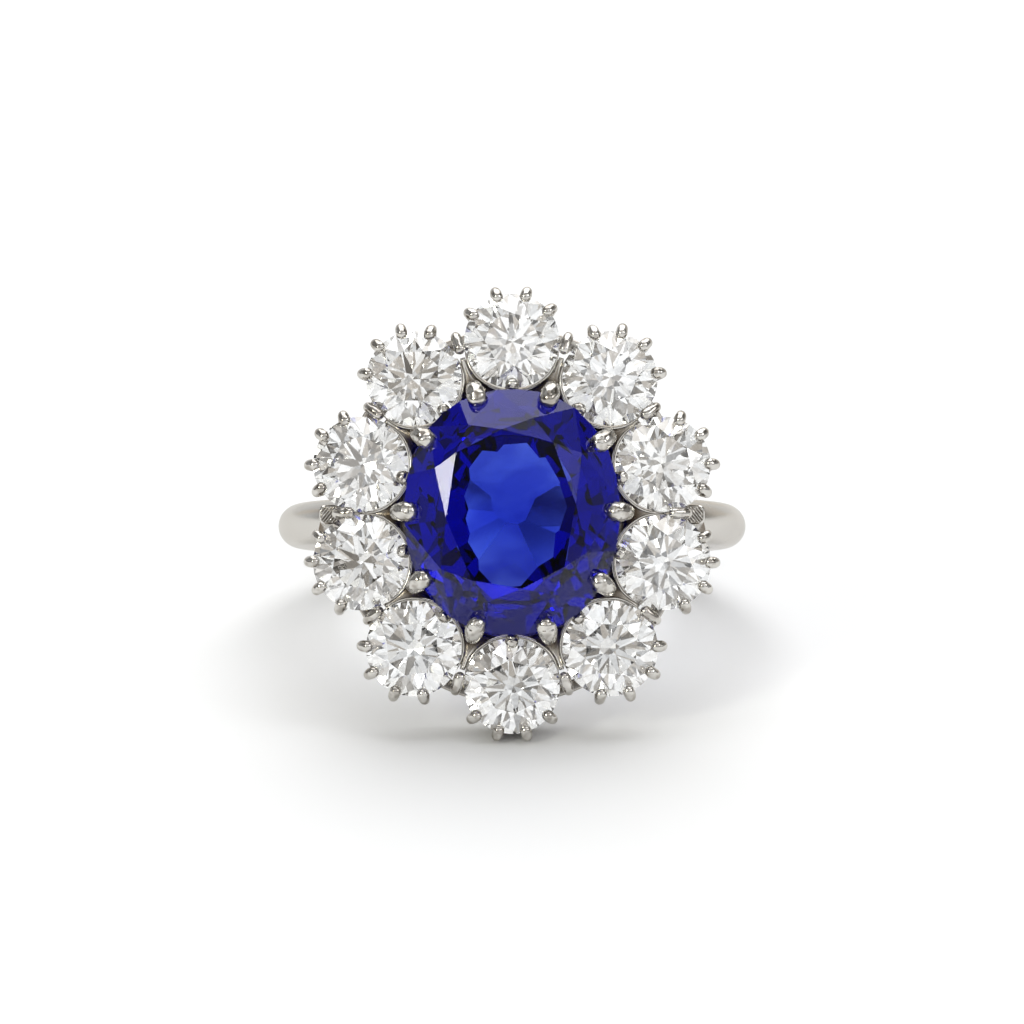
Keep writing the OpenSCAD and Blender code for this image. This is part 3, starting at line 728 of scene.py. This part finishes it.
def sapphire_claws(sizes):
    """Ten claws round the sapphire, of which the two at its sides stand lower, on the shank."""
    rim = cushion_radius(BIG_CLAW_ANGLES, sizes)
    girdle = sizes.sapphire_height
    foot = np.where(BIG_CLAW_ANGLES % 180 == 0, 9.0, 10.0) * MM
    # foot, knee and tip: reach past the girdle, and height
    places = ((0.08 * MM, foot), (0.3 * MM, girdle + 0.22 * MM), (-0.18 * MM, girdle + 0.45 * MM))
    points, faces = wires(*(polar(BIG_CLAW_ANGLES, rim + reach, height) for reach, height in places),
                          sizes.big_claw_radius, sizes.big_bead_radius, bend=0.45 * MM, sides=28, uneven=0.03)
    # painted shade, darker down the claws towards their feet
    return points, faces, painted_shade_by_height(points, low=10.5 * MM, high=13.2 * MM)


# Finishes

class Wire:
    """A shader socket that takes part in sums: every operation adds its Math node."""

    def __init__(self, finish, socket):
        self.finish, self.socket = finish, socket

    def _math(self, operation, a, b):
        """The Math node of an operation on two sockets or numbers."""
        return self.finish.node("ShaderNodeMath", {"operation": operation}, {0: a, 1: b})

    def __add__(self, other):
        return self._math("ADD", self, other)

    def __sub__(self, other):
        return self._math("SUBTRACT", self, other)

    def __rsub__(self, other):
        return self._math("SUBTRACT", other, self)

    def __mul__(self, other):
        return self._math("MULTIPLY", self, other)

    def least(self, other):
        return self._math("MINIMUM", self, other)

    def most(self, other):
        return self._math("MAXIMUM", self, other)

    __radd__ = __add__
    __rmul__ = __mul__


class Finish:
    """The nodes of one material or world."""

    def __init__(self, owner):
        owner.use_nodes = True
        self.tree = owner.node_tree
        self.tree.nodes.clear()

    def node(self, kind, settings=None, values=None, out=0):
        """Adds a node, sets it up, fills or links its inputs and gives one of its outputs."""
        node = self.tree.nodes.new(kind)
        for key, value in (settings or {}).items():
            setattr(node, key, value)
        for key, value in (values or {}).items():
            if isinstance(value, Wire):
                self.tree.links.new(value.socket, node.inputs[key])
            else:
                node.inputs[key].default_value = value
        return Wire(self, node.outputs[out])

    def mix(self, factor, a, b):
        """Mixes two colours, which are the Mix node's inputs 6 and 7 and its output 2."""
        return self.node("ShaderNodeMix", {"data_type": "RGBA"}, {0: factor, 6: a, 7: b}, out=2)

    def step(self, value, low, high):
        """Rises smoothly from 0 to 1 between two values."""
        return self.node("ShaderNodeMapRange", {"interpolation_type": "SMOOTHSTEP"},
                         {0: value, 1: low, 2: high})

    def noise(self, place, scale, detail=3.0):
        """Noise from 0 to 1, whose scale is in waves for each unit of the place."""
        return self.node("ShaderNodeTexNoise", None, {"Vector": place, "Scale": scale, "Detail": detail})

    def bump(self, strength, distance, height):
        """A surface that rises and falls by a share of the distance."""
        return self.node("ShaderNodeBump", None,
                         {"Strength": strength, "Distance": distance, "Height": height})

    def place(self, turn=(0, 0, 0), scale=(1, 1, 1)):
        """Object coordinates, turned and stretched."""
        here = self.node("ShaderNodeTexCoord", out="Object")
        return self.node("ShaderNodeMapping", None, {"Vector": here, "Rotation": turn, "Scale": scale})


def principled(finish, values):
    """Joins the surface shader with these inputs to the material's output, and gives that output."""
    shader = finish.node("ShaderNodeBsdfPrincipled", None, values)
    out = finish.tree.nodes.new("ShaderNodeOutputMaterial")
    finish.tree.links.new(shader.socket, out.inputs["Surface"])
    return out


# Each finish of the metal: how dented it is, how many times as rough as the polish and how stained.
METALS = {
    "polished_metal": (0.12, 1.0, 0.0),
    "worked_metal": (0.6, 1.0, 0.5),
    "worn_metal": (0.12, 2.2, 0.0),
}


def white_metal(name, colours, dented, worn, stained):
    """White metal with clouded roughness, fine relief and stains; painted shade makes it darker and warmer
    under the stones.
    """
    material = bpy.data.materials.new(name)
    finish = Finish(material)
    here = finish.place()
    # painted shade: the amount that each piece stores for its points, which also makes the metal a little
    # rougher
    depth = finish.node("ShaderNodeAttribute", {"attribute_name": "painted_shade"}, out="Fac")
    cloud = finish.noise(here, 900.0)
    uneven = 0.75 + 0.5 * cloud
    scratch = finish.noise(finish.place(turn=(0.5, 0.9, 0.4), scale=(1, 14, 1)), 2600.0, detail=2.0)
    stains = stained * finish.step(finish.noise(here, 2200.0, detail=2.0), 0.45, 0.65)
    dents = finish.noise(here, 3200.0, detail=1.0)
    # painted shade and the stains both mix the metal towards the dark shade colour
    dark = (depth * uneven).most(stains).least(1.0)
    tint = finish.mix(dark, (*colours.metal, 1), (*colours.painted_shade, 1))
    rough = worn * colours.metal_roughness * uneven + depth * 0.16 + (scratch - 0.5) * 0.05
    relief = cloud * 0.3 + scratch * 0.3 + dents * 0.8
    principled(finish, {"Base Color": tint, "Metallic": 1.0, "Roughness": rough,
                        "Normal": finish.bump(dented, 0.03 * MM, relief),
                        "Specular Tint": (0.8, 0.785, 0.76, 1)})
    return material


def polish_lines(finish, scale, strength):
    """Relief of fine, nearly straight lines, from noise that is stretched along them."""
    lines = finish.noise(finish.place(turn=(0.3, 0.5, 0.7), scale=(1, 8, 1)), scale, detail=2.0)
    return finish.bump(strength, 0.01 * MM, lines)


def diamond_glass(colours):
    """Colourless diamond, with faint polish lines on its facets."""
    material = bpy.data.materials.new("diamond")
    finish = Finish(material)
    principled(finish, {"Base Color": (*colours.diamond, 1), "Roughness": 0.0, "IOR": 2.42,
                        "Transmission Weight": 1.0, "Normal": polish_lines(finish, 700.0, 0.02)})
    return material


def sapphire_glass(colours):
    """Blue sapphire that takes in light along its path, with faint clouds and polish lines."""
    material = bpy.data.materials.new("sapphire")
    finish = Finish(material)
    grain = finish.noise(finish.place(turn=(2.0, 0.9, 1.4), scale=(1, 1, 1.6)), 420.0, detail=1.0)
    cloud = finish.step(grain, 0.42, 0.6)
    clear = finish.mix(cloud * 0.75, (1, 1, 1, 1), (0.2, 0.2, 0.6, 1))
    out = principled(finish, {"Base Color": clear, "Roughness": 0.0, "IOR": 1.77,
                              "Specular Tint": (0.48, 0.48, 0.51, 1), "Transmission Weight": 1.0,
                              "Normal": polish_lines(finish, 500.0, 0.006)})
    volume = finish.node("ShaderNodeVolumeAbsorption", None, {"Color": (*colours.sapphire, 1),
                                                              "Density": colours.sapphire_depth})
    finish.tree.links.new(volume.socket, out.inputs["Volume"])
    return material


# Operators

class RingOperator:
    """What the operators share: an undo step, the scene's ring settings and the making of metal pieces."""
    bl_options = {"REGISTER", "UNDO"}

    def settings(self):
        """The scene's sizes and colours."""
        scene = bpy.context.scene
        return scene.ring_sizes, scene.ring_colours

    def make_metal(self, name, finish, shape):
        """Makes a piece of the mount from a shape's points, faces and painted shade, in one finish of the
        metal.
        """
        sizes, colours = self.settings()
        points, faces, painted_shade = shape(sizes)
        material = bpy.data.materials.get(finish) or white_metal(finish, colours, *METALS[finish])
        make_piece(name, points, faces, material, ["ring_mount"], painted_shade=painted_shade)
        return {"FINISHED"}


class RING_OT_shank(RingOperator, bpy.types.Operator):
    """Half-round shank, whose ends stand under the sides of the coronet"""
    bl_idname = "ring.shank"
    bl_label = "Shank"

    def execute(self, context):
        return self.make_metal("shank", "worn_metal", shank)


class RING_OT_shoulders(RingOperator, bpy.types.Operator):
    """Two posts on the shank with file-cut tops, which carry the head"""
    bl_idname = "ring.shoulders"
    bl_label = "Shoulders"

    def execute(self, context):
        return self.make_metal("shoulders", "polished_metal", shoulders)


class RING_OT_gallery(RingOperator, bpy.types.Operator):
    """Rail under the diamonds' collets, and the coronet's rail under the sapphire"""
    bl_idname = "ring.gallery"
    bl_label = "Gallery"

    def execute(self, context):
        return self.make_metal("gallery", "polished_metal", gallery)


class RING_OT_collets(RingOperator, bpy.types.Operator):
    """Ten tapering collets with thin rims under the diamonds"""
    bl_idname = "ring.collets"
    bl_label = "Collets"

    def execute(self, context):
        return self.make_metal("collets", "polished_metal", collets)


class RING_OT_webs(RingOperator, bpy.types.Operator):
    """Ten webs that join neighbouring collets on the sapphire's side"""
    bl_idname = "ring.webs"
    bl_label = "Webs"

    def execute(self, context):
        return self.make_metal("webs", "polished_metal", webs)


class RING_OT_claws(RingOperator, bpy.types.Operator):
    """Claws of the diamonds, which differ a little from stone to stone"""
    bl_idname = "ring.claws"
    bl_label = "Diamond claws"

    def execute(self, context):
        return self.make_metal("diamond_claws", "worked_metal", diamond_claws)


class RING_OT_coronet(RingOperator, bpy.types.Operator):
    """The sapphire's ten claws, two of them standing on the shank"""
    bl_idname = "ring.coronet"
    bl_label = "Sapphire claws"

    def execute(self, context):
        return self.make_metal("sapphire_claws", "worked_metal", sapphire_claws)


class RING_OT_diamonds(RingOperator, bpy.types.Operator):
    """Ten round brilliants"""
    bl_idname = "ring.diamonds"
    bl_label = "Diamonds"

    def execute(self, context):
        sizes, colours = self.settings()
        material = diamond_glass(colours)
        for k, node in enumerate(DIAMOND_NODES):
            points, faces = brilliant(DIAMOND_WIDTH, DIAMOND_TURNS[k], seed=k)
            make_piece(f"brilliant_{k + 1:02d}", from_seat(k, points, sizes), faces, material,
                       [node], smooth=False)
        return {"FINISHED"}


class RING_OT_sapphire(RingOperator, bpy.types.Operator):
    """The cushion-cut sapphire"""
    bl_idname = "ring.sapphire"
    bl_label = "Sapphire"

    def execute(self, context):
        sizes, colours = self.settings()
        points, faces = cushion_cut(sizes)
        points = points + (0, 0, sizes.sapphire_height)
        make_piece("cushion_sapphire", points, faces, sapphire_glass(colours), ["sapphire"],
                   smooth=False)
        return {"FINISHED"}


class RING_OT_stage(RingOperator, bpy.types.Operator):
    """Pale floor, soft studio light and the camera"""
    bl_idname = "ring.stage"
    bl_label = "Stage"

    def execute(self, context):
        sizes, colours = self.settings()
        make_floor(colours)
        aim, direction = make_camera(sizes)
        make_world(direction)
        make_lights(aim, direction, sizes)
        scene = bpy.context.scene
        scene.view_settings.view_transform = "Standard"
        scene.cycles.max_bounces = scene.cycles.transmission_bounces = 24
        scene.cycles.glossy_bounces = 12
        return {"FINISHED"}


def make_floor(colours):
    """A wide level floor under the ring."""
    reach = 3.0
    mesh = bpy.data.meshes.new("floor")
    mesh.from_pydata([(-reach, -reach, 0), (reach, -reach, 0), (reach, reach, 0), (-reach, reach, 0)], [],
                     [(0, 1, 2, 3)])
    material = bpy.data.materials.new("floor")
    finish = Finish(material)
    grain = finish.noise(finish.place(), 60.0)
    tint = finish.mix(grain, (*[0.985 * c for c in colours.floor], 1), (*colours.floor, 1))
    principled(finish, {"Base Color": tint, "Roughness": 0.6})
    mesh.materials.append(material)
    floor = bpy.data.objects.new("floor", mesh)
    bpy.context.scene.collection.objects.link(floor)


def make_camera(sizes):
    """A long lens a little under square on to the stones, aimed at the middle of the sapphire."""
    # the sensor and the lens are in millimetres, as Blender has them
    distance, elevation = 233 * MM, math.radians(19)
    view_width, sensor = 42.5 * MM, 36.0
    aim = Vector(to_row(np.array([[0, 0, sizes.sapphire_height]]))[0])
    direction = Vector((0, -math.cos(elevation), math.sin(elevation)))
    lens = bpy.data.cameras.new("camera")
    lens.sensor_width = sensor
    lens.lens = sensor * distance / view_width
    lens.clip_start = 0.01
    camera = bpy.data.objects.new("camera", lens)
    camera.location = aim + distance * direction
    camera.rotation_euler = (-direction).to_track_quat("-Z", "Y").to_euler()
    bpy.context.scene.collection.objects.link(camera)
    bpy.context.scene.camera = camera
    return aim, direction


def make_world(direction):
    """A tent that is white behind the ring and patched with grey in front, with a dim opening for the lens.

    Its brightness goes by smooth steps over two cosines: facing is that of the angle from the lens, and
    above that of the angle from the upright of its picture.
    """
    world = bpy.data.worlds.new("tent")
    bpy.context.scene.world = world
    finish = Finish(world)
    here = finish.node("ShaderNodeTexCoord", out="Generated")
    facing, above = (
        finish.node("ShaderNodeVectorMath", {"operation": "DOT_PRODUCT"}, {0: here, 1: way}, out="Value")
        for way in (tuple(direction), (0, direction.z, -direction.y)))

    def within(degrees, edge):
        """1 up to so many degrees from the lens, and smoothly down to 0 over an edge of so many more."""
        return finish.step(facing, math.cos(math.radians(degrees + edge)), math.cos(math.radians(degrees)))

    panels = finish.step(finish.noise(here, 3.1, detail=1.0), 0.46, 0.52)
    overhead = finish.step(above, 0.12, 0.2)
    # bright panels round the lens, dimmer ones further out, a dim opening in front of it, white behind
    near = 0.28 + 0.7 * panels + 0.28 * overhead
    far = 0.13 + 0.27 * panels
    front = (far + (near - far) * within(44, 6)) * (1 - 0.75 * within(8, 3))
    behind, far_behind = finish.step(facing, -0.3, -0.65), finish.step(facing, -0.7, -0.85)
    light = front + (0.75 - front) * behind + 0.2 * far_behind
    tint = finish.mix(panels, (1.0, 0.93, 0.84, 1), (0.97, 0.985, 1.0, 1))
    back = finish.node("ShaderNodeBackground", None, {"Color": tint, "Strength": light})
    out = finish.tree.nodes.new("ShaderNodeOutputWorld")
    finish.tree.links.new(back.socket, out.inputs["Surface"])


def star_mirror(sizes, direction):
    """The way in which the sapphire's left upper star mirrors the lens: the view, turned round its normal."""
    left = 3
    _, table, star, _ = cushion_crown(sizes)
    normal = unit(np.cross(star[left] - table[left], table[left + 1] - table[left])) @ RING_AXES
    view = np.array(direction)
    normal = normal * np.sign(normal @ view)
    return Vector(2 * (normal @ view) * normal - view)


def make_lights(aim, direction, sizes):
    """Soft boxes: one that the sapphire's left upper star mirrors, one at the right and one over the back."""
    def way(azimuth, elevation):
        """Unit vector at an azimuth, from the front towards the right, and an elevation, in degrees."""
        a, e = math.radians(azimuth), math.radians(elevation)
        return Vector((math.sin(a) * math.cos(e), -math.cos(a) * math.cos(e), math.sin(e)))

    # each row: name, way to it, distance and width in metres, radiance and colour
    rows = (
        ("key", star_mirror(sizes, direction), 0.5, 0.104, 17.0, (1.0, 0.99, 0.85)),
        ("fill", way(66, 30), 0.5, 0.2, 3.0, (1.0, 1.0, 1.0)),
        ("back", way(172, 66), 0.6, 0.7, 2.3, (1.0, 1.0, 1.0)),
    )
    for name, toward, distance, width, radiance, tint in rows:
        light = bpy.data.lights.new(name, "AREA")
        light.shape, light.size, light.energy = "SQUARE", width, radiance * math.pi * width ** 2
        light.color = tint
        lamp = bpy.data.objects.new(name, light)
        lamp.location = aim + distance * toward
        lamp.rotation_euler = (-toward).to_track_quat("-Z", "Y").to_euler()
        bpy.context.scene.collection.objects.link(lamp)


OPERATORS = (
    RING_OT_shank, RING_OT_shoulders, RING_OT_gallery, RING_OT_collets, RING_OT_webs, RING_OT_claws,
    RING_OT_coronet, RING_OT_diamonds, RING_OT_sapphire, RING_OT_stage,
)


class RING_PT_panel(bpy.types.Panel):
    """Lists the ring's settings and pieces"""
    bl_label = "Ring"
    bl_idname = "RING_PT_panel"
    bl_space_type = "VIEW_3D"
    bl_region_type = "UI"
    bl_category = "Ring"

    def draw(self, context):
        for group in (context.scene.ring_sizes, context.scene.ring_colours):
            for name in group.__annotations__:
                self.layout.prop(group, name)
        for operator in OPERATORS:
            self.layout.operator(operator.bl_idname)


CLASSES = (RingSizes, RingColours, *OPERATORS, RING_PT_panel)


def register():
    for cls in CLASSES:
        bpy.utils.register_class(cls)
    bpy.types.Scene.ring_sizes = PointerProperty(type=RingSizes)
    bpy.types.Scene.ring_colours = PointerProperty(type=RingColours)


def unregister():
    del bpy.types.Scene.ring_colours
    del bpy.types.Scene.ring_sizes
    for cls in reversed(CLASSES):
        bpy.utils.unregister_class(cls)


def main():
    """Makes every piece."""
    register()
    for operator in OPERATORS:
        group, name = operator.bl_idname.split(".")
        getattr(getattr(bpy.ops, group), name)()


if __name__ == "__main__":
    main()
